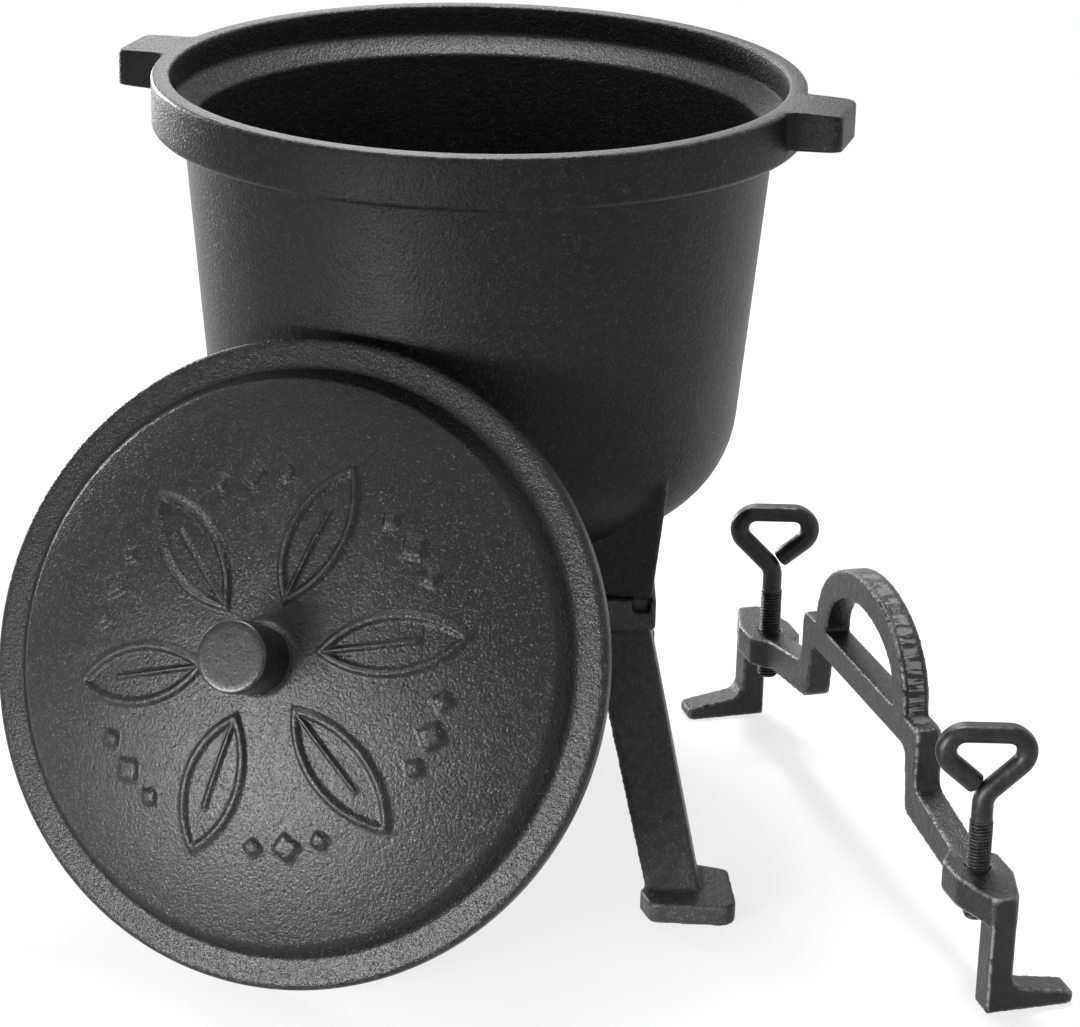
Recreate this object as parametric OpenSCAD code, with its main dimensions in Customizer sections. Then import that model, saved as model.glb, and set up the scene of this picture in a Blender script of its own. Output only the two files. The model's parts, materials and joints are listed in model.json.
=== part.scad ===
// Cast iron cauldron style dutch oven, taken apart: a pot on three plug-in legs,
// a domed lid leaning on its wall, and the screw clamp that holds the lid down.
// Lengths are in millimetres and angles in degrees.

/* [Pot] */
// Outside diameter of the rim
rim_d = 285; // [250:1:330]
// Width of the flat top of the rim
rim_w = 8; // [7:0.5:14]
// Height of the raised band round the rim
band_h = 22.5; // [19:0.5:30]
// How far the band stands out from the wall below it
band_proud = 13.5; // [11:0.5:16]
// Height of the pot from its underside to the top of the rim
body_h = 201; // [170:1:240]
// Height of the pot's underside above the ground
under_h = 131; // [115:1:150]
// Slope of the wall, from upright
wall_slope = 5; // [3:0.5:8]
// Thickness of the wall and the bottom
wall_t = 4.5; // [4:0.5:6]
// Radius of the bend from the wall to the bottom
knee_r = 50; // [35:1:65]
// How far the middle of the bottom bulges down
crown_h = 5; // [2:0.5:8]
// Depth of the upright wall of the lid recess
seat_depth = 12.5; // [10:0.5:14]
// Depth of the sloping ledge below it
ledge_drop = 8.5; // [5:0.5:9]

/* [Lugs] */
// Width of a lug
lug_w = 34; // [26:1:44]
// How far a lug stands out from the rim
lug_out = 21.5; // [18:0.5:32]
// Height of a lug
lug_h = 16.5; // [12:0.5:18]
// Radius of the bends at a lug's root
lug_root = 8; // [3:0.5:9]
// Direction of the lugs
lug_turn = -16; // [-45:0.5:45]

/* [Legs] */
// Height of the joint between a stub and its leg
joint_h = 119; // [108:1:124]
// Distance of a stub's ridge from the pot's axis, at the joint
stub_r = 112; // [100:1:116]
// Length of each of the two faces beside a leg's ridge
leg_face = 24; // [18:0.5:28]
// Thickness of the collar's wall round the top of a leg
collar_t = 2.5; // [1.5:0.5:4]
// Height of the collar
collar_h = 14; // [10:0.5:18]
// Diameter of the peg below a stub
peg_d = 12; // [8:0.5:14]
// Length of the peg
peg_l = 12; // [8:0.5:16]
// Clearance round the peg
peg_gap = 0.3; // [0.2:0.05:0.6]
// Distance of a leg's ridge from the pot's axis, at the foot
foot_r = 174; // [140:1:180]
// How far a foot is turned round the pot's axis from its stub
leg_sweep = -9; // [-12:0.5:12]
// Thickness of a foot
foot_t = 9; // [6:0.5:12]
// How far a foot's tip stands out from the leg's ridge
toe_out = 22; // [16:1:32]
// Direction of the stub that faces the front
leg_turn = -44.5; // [-60:0.5:-30]

/* [Lid] */
// Clearance between the lid's edge and the recess, on each side
lid_gap = 0.5; // [0.5:0.25:3]
// Thickness of the lid's flange
flange_t = 9; // [7:0.5:11]
// Width of the flange
flange_w = 13; // [10:0.5:18]
// Height of the steep step inside the flange
step_h = 10; // [6:0.5:13]
// Height of the lid above its flange, without the knob
dome_h = 36.5; // [30:0.5:50]
// Thickness of the lid's dome
dome_t = 6; // [4:0.5:7]
// Diameter of the knob
knob_d = 29.5; // [24:0.5:36]
// Height of the knob
knob_h = 30.5; // [26:0.5:42]
// Height of the raised ornament
relief_h = 2.2; // [1:0.1:2.5]
// Width of the ornament's lines
relief_w = 3.4; // [3:0.2:6]
// Length of a leaf of the ornament
leaf_l = 62; // [50:1:66]

/* [Lid as it leans] */
// Lean of the lid, from upright
lean = 23.5; // [16:0.5:30]
// Direction that the lid faces
lid_face = -109; // [-125:0.5:-90]
// How far the lid's middle is to the side of the pot's axis
lid_aside = -9.5; // [-30:1:10]
// Gap left between the lid and the wall that it leans on
touch_gap = 0.3; // [0.1:0.1:0.5]

/* [Clamp] */
// Gap between the pot's rim and each leg of the clamp
hook_gap = 2.5; // [1.5:0.5:6]
// Width of the clamp's bars
bar_w = 12; // [9:0.5:15]
// Depth of the clamp's bars
bar_t = 13; // [10:0.5:16]
// Width of a clamp leg
clamp_leg_w = 11; // [9:0.5:14]
// Thickness of a hook at its root
hook_t = 10; // [8:0.5:12]
// Thickness of a hook at its tip
hook_tip_t = 6; // [4:0.5:8]
// Length of a hook beside its leg
hook_l = 27.5; // [20:0.5:34]
// Space between the rim and the underside of a clamp boss
clamp_room = 12.5; // [8:0.5:18]
// Thickness of the boss that each screw passes through
boss_t = 13; // [10:0.5:16]
// Width of the boss
boss_w = 25; // [20:0.5:30]
// Rise from a boss to the middle bar
bar_rise = 35; // [24:1:44]
// Half length of the middle bar
bar_half = 70; // [60:1:80]
// Half length of the hand grip
grip_half = 54; // [44:1:56]
// Height of the hand grip above the middle bar
grip_h = 41; // [32:1:50]

/* [Clamp screws] */
// Outside diameter of the thread
thread_d = 10; // [8:0.5:12]
// Clearance between the thread and its hole, on each side
thread_gap = 0.08; // [0.05:0.01:0.1]
// Diameter of the plain rod
rod_d = 9; // [7:0.5:11]
// How far a screw's tip stands below its boss
tip_out = 10; // [6:0.5:11]
// Length of thread above the boss
thread_up = 22; // [14:0.5:26]
// Length of plain rod between the thread and the bend above it
plain_up = 6; // [1:0.5:10]
// Radius of the bend above the thread
neck_r = 10; // [7:0.5:12]
// Radius of the two bends of the handle
turn_r = 8; // [6.5:0.5:9]
// Length of the straight end of the handle
rod_end = 14.3; // [8:0.1:15]
// Half width of the handle, to the middle of the rod
handle_half = 16.5; // [15:0.5:20]

/* [Clamp as it stands] */
// Distance of the clamp's middle to the right of the pot's axis
clamp_x = 178; // [172:1:230]
// Distance of the clamp's middle in front of the pot's axis
clamp_y = 72.5; // [60:1:120]
// Direction of the clamp's front end
clamp_turn = -73.5; // [-80:0.5:-65]

/* [Hidden] */
$fn = 96;

// Heights and radii of the pot
pot_h = under_h + body_h;
rim_r = rim_d / 2;
seat_r = rim_r - rim_w;
band_z = pot_h - band_h;
edge_r = 1.5;
band_blend = 5;
knee_z = under_h + crown_h + knee_r;
knee_top_z = knee_z - knee_r * sin(wall_slope);
knee_x = wall_r(knee_top_z) - knee_r * cos(wall_slope);
ledge_z = pot_h - seat_depth - ledge_drop;
ledge_r = wall_r(ledge_z) - wall_t;

// Lid, in its own frame: its axis is Z and its flange lies on Z = 0
lid_r = seat_r - lid_gap;
flange_edge_r = 3;
dome_foot_r = lid_r - flange_w;
step_in = 5.5;
dome_r = dome_foot_r - step_in;
dome_rise = dome_h - step_h;
dome_ball_r = (dome_r * dome_r + dome_rise * dome_rise) / (2 * dome_rise);
dome_top_z = flange_t + dome_h;
dome_ball_z = dome_top_z - dome_ball_r;

// Place of the leaning lid: its rounded back edge is on the ground and against the wall
tube_r = lid_r - flange_edge_r;
lid_back_z = tube_r * cos(lean) + flange_edge_r;
lid_out = max([for (a = [-40:1:40]) lid_stand_off(a)]);

// Clamp, in its own frame: its long way is X, and its front end is at +X
clamp_leg_in = rim_r + hook_gap;
clamp_leg_out = clamp_leg_in + bar_t;
boss_z = hook_t + lug_h + clamp_room;
boss_top_z = boss_z + boss_t;
bar_z = boss_z + bar_rise;
bar_top_z = bar_z + bar_t;
screw_x = dome_foot_r + flange_w / 2;
boss_in_x = screw_x - boss_w / 2 - 4;
tip_z = boss_z - tip_out;
thread_top_z = boss_top_z + thread_up;

// Middle line of a screw's bent rod, above its thread: X across the handle, Y up
turn_x = handle_half - turn_r;
neck_z = thread_top_z - tip_z + plain_up;
loop_z = neck_z + (neck_r + turn_r) * sin(45) + turn_x + turn_r * cos(45) - neck_r * (1 - cos(45));
loop_turn = 140;
rod_line = concat(
    [[0, thread_top_z - tip_z - 3]],
    arc([neck_r, neck_z], neck_r, 180, 135, 3),
    arc([turn_x, loop_z], turn_r, -45, 90, 9),
    arc([-turn_x, loop_z], turn_r, 90, 90 + loop_turn, 9),
    [[-turn_x, loop_z] + turn_r * [cos(90 + loop_turn), sin(90 + loop_turn)]
     + rod_end * [-sin(90 + loop_turn), cos(90 + loop_turn)]]);
rod_sides = 16;

// Legs: the ridge of each points away from the pot's axis
stub_turns = [leg_turn, leg_turn + 120, leg_turn + 240];
flank = leg_face * cos(45);
peg_x = stub_r - flank - 1;
toe_r = 7;
foot_side = flank + 7.5;
foot_side_x = -6;
toe_angle = atan(foot_side / (toe_out - foot_side_x));
toe_mid_x = toe_out - toe_r / sin(toe_angle);
stub_top_z = joint_h + 62;
stub_spread = 30;

// The origin is below the middle of everything that stands on the ground
lid_normal = [cos(lid_face) * cos(lean), sin(lid_face) * cos(lean)];
left_x = lid_place()[0] + (flange_t - 2 * flange_edge_r) * lid_normal[0]
         - tube_r * sqrt(1 - pow(lid_normal[0], 2)) - flange_edge_r;
right_x = clamp_x + clamp_leg_out * cos(clamp_turn) - (clamp_leg_w / 2 + hook_l) * sin(clamp_turn);
front_y = lid_place()[1] + (dome_top_z + knob_h - flange_edge_r) * lid_normal[1]
          - (knob_d / 2 - 1.5) * sqrt(1 - pow(lid_normal[1], 2));
pot_x = -(left_x + right_x) / 2;
back_y = foot_r * sin(leg_turn + 120 + leg_sweep) + toe_mid_x * sin(leg_turn + 120) + toe_r;
pot_y = -(front_y + back_y) / 2;

function wall_r(z) = rim_r - band_proud - (band_z - z) * tan(wall_slope);
function unit(v) = v / norm(v);

// Points of a circular bend that replaces the corner b between a and c
function bend(a, b, c, r, n) =
    let (u = unit(a - b), v = unit(c - b),
         half = acos(u * v) / 2,
         mid = b + unit(u + v) * r / sin(half),
         from = b + u * r / tan(half) - mid,
         to = b + v * r / tan(half) - mid,
         start = atan2(from[1], from[0]),
         sweep = (atan2(to[1], to[0]) - start + 540) % 360 - 180)
    [for (i = [0:n]) mid + r * [cos(start + sweep * i / n), sin(start + sweep * i / n)]];

// An outline whose corners are given as [x, y, bend radius]
function rounded(corners, n = 5) =
    let (k = len(corners))
    [for (i = [0:k - 1])
        let (a = corners[(i + k - 1) % k], b = corners[i], c = corners[(i + 1) % k])
        each b[2] == 0 ? [[b[0], b[1]]]
                       : bend([a[0], a[1]], [b[0], b[1]], [c[0], c[1]], b[2], n)];

function arc(mid, r, from, to, n) =
    [for (i = [0:n]) let (a = from + (to - from) * i / n) mid + r * [cos(a), sin(a)]];

// Bottom and knee of the pot, drawn the given distance inside its outer face
function bowl(inset) = concat(
    [for (i = [0:8]) let (t = i / 8)
        [knee_x * t, under_h + inset + crown_h * (1 - cos(180 * t)) / 2]],
    [for (a = [-80:10:-10]) [knee_x + (knee_r - inset) * cos(a), knee_z + (knee_r - inset) * sin(a)]]);

// Distance of the lid's back edge from the pot's axis at which it meets the wall,
// for the point of the edge that is an angle a from the top
function lid_stand_off(a) =
    let (z = lid_back_z + tube_r * cos(lean) * cos(a),
         reach = wall_r(z) + flange_edge_r + touch_gap,
         side = lid_aside + tube_r * sin(a))
    tube_r * sin(lean) * cos(a) + sqrt(max(0, reach * reach - side * side));

// Middle of the ring that runs inside the lid's rounded back edge
function lid_place() =
    [lid_out * cos(lid_face) - lid_aside * sin(lid_face),
     lid_out * sin(lid_face) + lid_aside * cos(lid_face), lid_back_z];

module at_pot() { translate([pot_x, pot_y, 0]) children(); }

module at_lid() {
    at_pot() translate(lid_place()) rotate([0, 0, lid_face]) rotate([0, 90 - lean, 0])
        rotate([0, 0, 90]) translate([0, 0, -flange_edge_r]) children();
}

module at_clamp() {
    at_pot() translate([clamp_x, -clamp_y, 0]) rotate([0, 0, clamp_turn]) children();
}

// Pot
module pot_shell() {
    outline = concat(
        bowl(0),
        [[knee_x + knee_r * cos(wall_slope), knee_top_z],
         [wall_r(band_z - band_blend), band_z - band_blend],
         [wall_r(band_z) + 1.5, band_z - 1.5],
         [rim_r - edge_r, band_z],
         [rim_r, band_z + edge_r],
         [rim_r, pot_h - edge_r],
         [rim_r - edge_r, pot_h],
         [0, pot_h]]);
    rotate_extrude() polygon(outline);
}

module pot_hollow() {
    top = pot_h + 1;
    outline = concat(
        bowl(wall_t),
        [[knee_x + (knee_r - wall_t) * cos(wall_slope), knee_top_z],
         [ledge_r, ledge_z],
         [ledge_r + 3, ledge_z + 1.2],
         [seat_r - 1.5, pot_h - seat_depth - 2],
         [seat_r, pot_h - seat_depth],
         [seat_r, pot_h - edge_r],
         [seat_r + edge_r, pot_h],
         [seat_r + edge_r, top],
         [0, top]]);
    rotate_extrude() polygon(outline);
}

module lug() {
    root_x = sqrt(rim_r * rim_r - pow(lug_w / 2 + lug_root, 2)) - 0.7;
    tip_x = rim_r + lug_out;
    inside_x = seat_r + 3;
    half = [[inside_x, lug_w / 2 + lug_root, 0],
            [root_x, lug_w / 2 + lug_root, 0],
            [root_x, lug_w / 2, lug_root * 0.9],
            [tip_x, lug_w / 2 - 0.5, 5]];
    other = [for (i = [3:-1:0]) [half[i][0], -half[i][1], half[i][2]]];
    translate([0, 0, pot_h - lug_h]) linear_extrude(lug_h) polygon(rounded(concat(half, other)));
}

// Cross section of a stub or leg: a ridge between two faces, closed behind
module ridge_section(ridge, side, back) {
    polygon(rounded([[ridge, 0, 2], [ridge - side, side, 1.5], [ridge - side - back, side, 0],
                     [ridge - side - back, -side, 0], [ridge - side, -side, 1.5]], 3));
}

// Stub under the pot: two outer faces that meet at a ridge, spreading toward the pot
module stub() {
    ridge_lean = 7.5;
    top = stub_top_z - joint_h;
    intersection() {
        translate([stub_r, 0, joint_h]) rotate([0, ridge_lean, 0])
            translate([0, 0, -5]) linear_extrude(top + 10) rotate(135) square(70);
        translate([60, 0, joint_h]) rotate([90, 0, 90]) linear_extrude(80)
            polygon([[flank, 0], [stub_spread, top * 0.6], [stub_spread, top],
                     [-stub_spread, top], [-stub_spread, top * 0.6], [-flank, 0]]);
        translate([0, 50, joint_h]) rotate([90, 0, 0]) linear_extrude(100)
            polygon([[stub_r - flank - 6, 0], [stub_r + 20, 0], [stub_r + 20, top * 0.85 - 10],
                     [stub_r + 4, top * 0.85 + 6], [stub_r - 5, top], [60, top], [60, 30]]);
    }
    translate([peg_x, 0, joint_h - peg_l]) cylinder(d = peg_d, h = peg_l + 2);
}

module pot() {
    color("#2b2b2d") at_pot() {
        difference() {
            pot_shell();
            pot_hollow();
        }
        for (turn = [lug_turn, lug_turn + 180]) rotate([0, 0, turn]) lug();
        difference() {
            for (turn = stub_turns) rotate([0, 0, turn]) stub();
            pot_hollow();
        }
    }
}

// Leg, drawn with its stub at the X axis
module at_foot() { translate([foot_r * cos(leg_sweep), foot_r * sin(leg_sweep), 0]) children(); }

module leg_bar() {
    hull() {
        translate([0, 0, joint_h - collar_h]) linear_extrude(0.5) ridge_section(stub_r, flank, 4);
        at_foot() translate([0, 0, foot_t - 0.5]) linear_extrude(0.5) ridge_section(0, flank * 0.93, 2);
    }
}

module leg_collar() {
    wide = collar_t * sqrt(2);
    difference() {
        translate([0, 0, joint_h - collar_h])
            linear_extrude(collar_h) ridge_section(stub_r + wide, flank + collar_t, 6);
        translate([peg_x, 0, joint_h - peg_l - 1]) cylinder(d = peg_d + 2 * peg_gap, h = peg_l + 2);
        translate([stub_r + wide, 0, joint_h - 6]) rotate([0, 0, -135])
            translate([2.5, -4, 0]) cube([8, 8, 12]);
    }
}

module leg_foot() {
    back_x = -flank - 2;
    at_foot() linear_extrude(foot_t)
        polygon(rounded([[toe_out, 0, toe_r], [foot_side_x, foot_side, 4], [back_x, flank + 1, 3],
                         [back_x, -flank - 1, 3], [foot_side_x, -foot_side, 4]]));
}

module leg(turn) {
    color("#303032") at_pot() rotate([0, 0, turn]) {
        leg_collar();
        leg_bar();
        leg_foot();
    }
}

// Lid
module lid_plate() {
    ball_in = dome_ball_r - dome_t;
    reach = asin(dome_r / dome_ball_r);
    inner_reach = asin((dome_r - dome_t * 0.8) / ball_in);
    top = [for (i = [0:12]) let (a = reach * i / 12)
        [dome_ball_r * sin(a), dome_ball_z + dome_ball_r * cos(a)]];
    under = [for (i = [12:-1:0]) let (a = inner_reach * i / 12)
        [ball_in * sin(a), dome_ball_z + ball_in * cos(a)]];
    edge = rounded([[lid_r, flange_t, flange_edge_r], [lid_r, 0, flange_edge_r],
                    [dome_foot_r - dome_t, 0, 0], [dome_foot_r, flange_t, 0]], 4);
    outline = concat(top, [[dome_foot_r - 1.5, flange_t + 1.5], [dome_foot_r + 1.5, flange_t]],
                     [for (i = [0:9]) edge[i]], [[dome_foot_r - dome_t, 0]], under);
    rotate_extrude() polygon(outline);
}

module lid_knob() {
    r = knob_d / 2;
    top_z = dome_top_z + knob_h;
    rotate_extrude() polygon([[0, dome_top_z - 3], [r + 2.5, dome_top_z - 3], [r + 1.5, dome_top_z],
                              [r - 1, dome_top_z + 4], [r - 1.3, top_z - 15], [r, top_z - 13],
                              [r, top_z - 1.5], [r - 1.5, top_z], [0, top_z]]);
}

// A leaf: a pointed outline of two arcs with a rib along its middle
module leaf(length, width) {
    arc_r = (length * length / 4 + width * width / 4) / width;
    intersection() {
        translate([length / 2, arc_r - width / 2]) circle(arc_r);
        translate([length / 2, width / 2 - arc_r]) circle(arc_r);
    }
}

module leaf_lines(length, width) {
    inner = length - 2.6 * relief_w;
    difference() {
        leaf(length, width);
        translate([relief_w * 1.3, 0]) leaf(inner, width - 2 * relief_w);
    }
    translate([relief_w, -relief_w * 0.3]) square([length * 0.62, relief_w * 0.6]);
}

module ornament() {
    leaves = 6;
    leaf_in = knob_d / 2 + 9;
    diamond_r = leaf_in + leaf_l - 10;
    for (i = [0:leaves - 1]) rotate((i + 0.25) * 360 / leaves) {
        translate([leaf_in, 0]) leaf_lines(leaf_l, leaf_l * 0.42);
        rotate(180 / leaves) translate([diamond_r, 0]) rotate(45) square(relief_w * 2.6, center = true);
        for (side = [-1, 1]) rotate(180 / leaves + side * 11) translate([diamond_r, 0])
            rotate(45) square(relief_w * 1.8, center = true);
    }
}

module lid_relief() {
    intersection() {
        translate([0, 0, flange_t]) linear_extrude(dome_h + 10) ornament();
        difference() {
            translate([0, 0, dome_ball_z]) sphere(dome_ball_r + relief_h);
            translate([0, 0, dome_ball_z]) sphere(dome_ball_r - dome_t / 2);
        }
    }
}

module lid() {
    color("#333335") at_lid() {
        lid_plate();
        lid_knob();
        lid_relief();
    }
}

// Clamp
module grip_ring() {
    rise = grip_h - bar_t;
    steps = 24;
    outer = [for (i = [0:steps]) let (a = 180 * i / steps)
        [grip_half * cos(a), bar_top_z + grip_h * pow(sin(a), 0.9)]];
    inner = [for (i = [0:steps]) let (a = 180 * i / steps)
        [(grip_half - bar_t) * cos(a), bar_top_z + rise * pow(sin(a), 0.9)]];
    difference() {
        polygon(concat(outer, [[-grip_half, bar_z + 2], [grip_half, bar_z + 2]]));
        polygon(inner);
    }
}

module clamp_side() {
    arm_in = bar_half - bar_t;
    arm_top = boss_top_z + 9;
    arm_low = boss_z + 8;
    polygon(rounded(concat(
        [[-bar_half, bar_top_z, 5], [bar_half, bar_top_z, 5], [bar_half, arm_top, 6],
         [boss_in_x + 8, boss_top_z, 3], [boss_in_x + 8, boss_z, 0], [arm_in + 4, arm_low - 1, 5],
         [arm_in, bar_z, 5]],
        [[-arm_in, bar_z, 5], [-arm_in - 4, arm_low - 1, 5], [-boss_in_x - 8, boss_z, 0],
         [-boss_in_x - 8, boss_top_z, 3], [-bar_half, arm_top, 6]]), 4));
    grip_ring();
}

module clamp_boss() {
    outline = rounded([[boss_in_x, -bar_w / 2, 0], [screw_x - boss_w / 3, -boss_w / 2, 4],
                       [screw_x + boss_w / 3, -boss_w / 2, 5], [clamp_leg_out, -clamp_leg_w / 2, 3],
                       [clamp_leg_out, clamp_leg_w / 2, 3], [screw_x + boss_w / 3, boss_w / 2, 5],
                       [screw_x - boss_w / 3, boss_w / 2, 4], [boss_in_x, bar_w / 2, 0]], 4);
    translate([0, 0, boss_z]) linear_extrude(boss_t) polygon(outline);
}

module clamp_hook() {
    half = clamp_leg_w / 2;
    mid_x = (clamp_leg_in + clamp_leg_out) / 2;
    translate([clamp_leg_in, -half, 0]) cube([bar_t, clamp_leg_w, boss_z + 1]);
    translate([mid_x - bar_t / 2, 0, 0]) rotate([90, 0, 90]) linear_extrude(bar_t)
        polygon(rounded([[-half, 0, 2], [half + hook_l, 0, 2], [half + hook_l, hook_tip_t, 2],
                         [half + 3, hook_t, 3], [half, hook_t + 4, 0], [-half, hook_t + 4, 0]], 4));
}

module clamp_end() {
    difference() {
        union() {
            clamp_boss();
            clamp_hook();
        }
        translate([screw_x, 0, boss_z - 1]) cylinder(d = thread_d + 2 * thread_gap, h = boss_t + 2);
    }
}

module clamp_bridge() {
    color("#3a3a3c") at_clamp() {
        translate([0, bar_w / 2, 0]) rotate([90, 0, 0]) linear_extrude(bar_w) clamp_side();
        for (turn = [0, 180]) rotate([0, 0, turn]) clamp_end();
    }
}

// A round rod along a line in the XZ plane
module bent_rod(line) {
    last = len(line) - 1;
    rings = [for (i = [0:last])
        let (way = unit(unit(line[min(i + 1, last)] - line[i == last ? last - 1 : i])
                        + unit(line[max(i, 1)] - line[max(i, 1) - 1])))
        for (k = [0:rod_sides - 1]) let (a = 360 * k / rod_sides)
            [line[i][0] + way[1] * cos(a) * rod_d / 2, sin(a) * rod_d / 2,
             line[i][1] - way[0] * cos(a) * rod_d / 2]];
    sides = [for (i = [0:last - 1]) for (k = [0:rod_sides - 1])
        let (from = i * rod_sides, next = (k + 1) % rod_sides)
        [from + k, from + rod_sides + k, from + rod_sides + next, from + next]];
    polyhedron(rings, concat([[for (k = [0:rod_sides - 1]) k]], sides,
                             [[for (k = [rod_sides - 1:-1:0]) last * rod_sides + k]]), convexity = 6);
}

module clamp_screw(turn) {
    chamfer = 1;
    color("#1b1b1d") at_clamp() rotate([0, 0, turn]) translate([screw_x, 0, tip_z])
        rotate([0, 0, -clamp_turn]) {
            cylinder(d1 = thread_d - 2 * chamfer, d2 = thread_d, h = chamfer);
            translate([0, 0, chamfer]) cylinder(d = thread_d, h = thread_top_z - tip_z - chamfer);
            bent_rod(rod_line);
        }
}

pot();
leg(stub_turns[0]);  // leg_front
leg(stub_turns[1]);  // leg_back
leg(stub_turns[2]);  // leg_left
lid();
clamp_bridge();
clamp_screw(0);  // clamp_screw_front
clamp_screw(180);  // clamp_screw_rear
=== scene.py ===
import json
import logging
import math
from dataclasses import dataclass
from enum import Enum
from typing import Optional, Sequence, Union

import bmesh
import bpy
import numpy as np
from mathutils import Matrix, Vector


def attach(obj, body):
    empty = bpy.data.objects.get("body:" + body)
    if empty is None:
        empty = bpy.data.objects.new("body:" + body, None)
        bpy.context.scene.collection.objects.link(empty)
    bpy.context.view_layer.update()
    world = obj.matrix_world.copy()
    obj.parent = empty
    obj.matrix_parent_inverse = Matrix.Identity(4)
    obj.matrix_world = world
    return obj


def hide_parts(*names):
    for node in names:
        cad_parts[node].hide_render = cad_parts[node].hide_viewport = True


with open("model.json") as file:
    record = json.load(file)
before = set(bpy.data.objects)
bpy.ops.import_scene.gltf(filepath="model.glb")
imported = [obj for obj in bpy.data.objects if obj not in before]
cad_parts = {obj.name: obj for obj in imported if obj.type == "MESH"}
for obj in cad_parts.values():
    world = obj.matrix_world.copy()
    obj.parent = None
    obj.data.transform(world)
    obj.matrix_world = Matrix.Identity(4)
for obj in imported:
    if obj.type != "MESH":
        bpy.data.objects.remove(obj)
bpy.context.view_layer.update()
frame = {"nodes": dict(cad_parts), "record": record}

MM = 0.001
LOG = logging.getLogger("dutch_oven")
Point = tuple[float, float]
Corner = tuple[float, float, float]
Colour = tuple[float, float, float]
Number = Union[int, float]
Faces = list[tuple[int, ...]]
Modifier = tuple[str, dict[str, object]]
Owner = Union[bpy.types.Material, bpy.types.World]
WHITE = (1.0, 1.0, 1.0, 1.0)
NEARLY_STRAIGHT = math.radians(89.5)


class Mark(Enum):
    """What a mesh keeps at its points for the finishes to read."""

    WORN = "worn"
    SMOOTH = "smooth"
    FILED = "filed"


class End(Enum):
    """The two ends of the clamp, with the turn that each has."""

    FRONT = 0
    REAR = 180


class Foot(Enum):
    """The three legs, with the turn of each from the front one."""

    FRONT = 0
    BACK = 120
    LEFT = 240


# Outlines and meshes

def arc(middle: Sequence[float], radius: float, first: float, last: float, count: int) -> list[Point]:
    """Evenly spaced points of an arc.

    Args:
        middle: Its centre.
        radius: Its radius.
        first: Angle of the first point, in degrees.
        last: Angle of the last point, in degrees.
        count: Number of points.

    Returns:
        The points, with both ends.
    """
    turns = np.radians(np.linspace(first, last, count))
    return [(middle[0] + radius * math.cos(t), middle[1] + radius * math.sin(t)) for t in turns]


def between(start: Point, end: Point, parts: int) -> list[Point]:
    """The inner points of a straight that is divided evenly."""
    a, b = np.array(start), np.array(end)
    return [tuple(a + (b - a) * k / parts) for k in range(1, parts)]


def circle(count: int) -> np.ndarray:
    """Angles of a full turn in even steps, in radians."""
    return np.linspace(0, 2 * math.pi, count + 1)[:-1]


def bend_points(a: np.ndarray, b: np.ndarray, c: np.ndarray, radius: float, count: int) -> list[Point]:
    """Points of a circular bend that replaces the corner b between a and c.

    Args:
        a: The point before the corner.
        b: The corner.
        c: The point after the corner.
        radius: Radius of the bend.
        count: Number of steps along the bend.

    Returns:
        The points of the bend, from the side of a to the side of c.
    """
    u, v = (a - b) / np.linalg.norm(a - b), (c - b) / np.linalg.norm(c - b)
    half = math.acos(float(np.clip(u @ v, -1, 1))) / 2
    if half > NEARLY_STRAIGHT:
        return [(float(b[0]), float(b[1]))]
    middle = b + (u + v) / np.linalg.norm(u + v) * radius / math.sin(half)
    start = b + u * radius / math.tan(half) - middle
    end = b + v * radius / math.tan(half) - middle
    angle = math.atan2(start[1], start[0])
    sweep = (math.atan2(end[1], end[0]) - angle + 3 * math.pi) % (2 * math.pi) - math.pi
    return arc(middle, radius, math.degrees(angle), math.degrees(angle + sweep), count + 1)


def soft_line(corners: Sequence[Corner], step: float, bend_step: float = 0.55) -> list[Point]:
    """An open line with rounded corners and evenly divided straights.

    Args:
        corners: Each corner as x, y and the radius of its bend.
        step: Longest piece of a straight.
        bend_step: Longest piece of a bend.

    Returns:
        The points of the line.
    """
    line: list[Point] = []
    last = len(corners) - 1
    for i, (x, y, radius) in enumerate(corners):
        here = np.array([x, y])
        if i in (0, last) or radius == 0:
            new = [(x, y)]
        else:
            before, after = np.array(corners[i - 1][:2]), np.array(corners[i + 1][:2])
            new = bend_points(before, here, after, radius, max(3, round(radius * 1.4 / bend_step)))
        if line:
            line += between(line[-1], new[0], max(1, math.ceil(math.dist(line[-1], new[0]) / step)))
        line += new
    return line


def smooth_step(value: np.ndarray, low: float, high: float) -> np.ndarray:
    """A smooth rise from 0 at low to 1 at high."""
    t = np.clip((value - low) / (high - low), 0.0, 1.0)
    return t * t * (3 - 2 * t)


@dataclass
class Surface:
    """Points in millimetres and the faces between them."""

    points: np.ndarray
    faces: Faces

    def moved(self, place: Matrix) -> "Surface":
        """This surface carried to a place in millimetres."""
        turn = np.array(place.to_3x3())
        return Surface(self.points @ turn.T + np.array(place.translation), self.faces)

    def joined(self, other: "Surface") -> "Surface":
        """This surface and another one as one.

        Args:
            other: The surface to add.

        Returns:
            The two together.
        """
        base = len(self.points)
        more = [tuple(base + i for i in f) for f in other.faces]
        return Surface(np.vstack([self.points, other.points]), self.faces + more)

    def mesh(self, name: str) -> bpy.types.Mesh:
        """A smooth shaded Blender mesh of this surface, in metres.

        Args:
            name: Name of the mesh.

        Returns:
            The mesh, with its faces turned outward.
        """
        made = bpy.data.meshes.new(name)
        made.from_pydata((self.points * MM).tolist(), [], self.faces)
        made.update()
        edit = bmesh.new()
        edit.from_mesh(made)
        bmesh.ops.recalc_face_normals(edit, faces=edit.faces)
        edit.to_mesh(made)
        edit.free()
        shade_smooth(made)
        return made

    def piece(self, name: str) -> "Piece":
        """This surface as a new piece."""
        return Piece(name, self.mesh(name))


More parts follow.
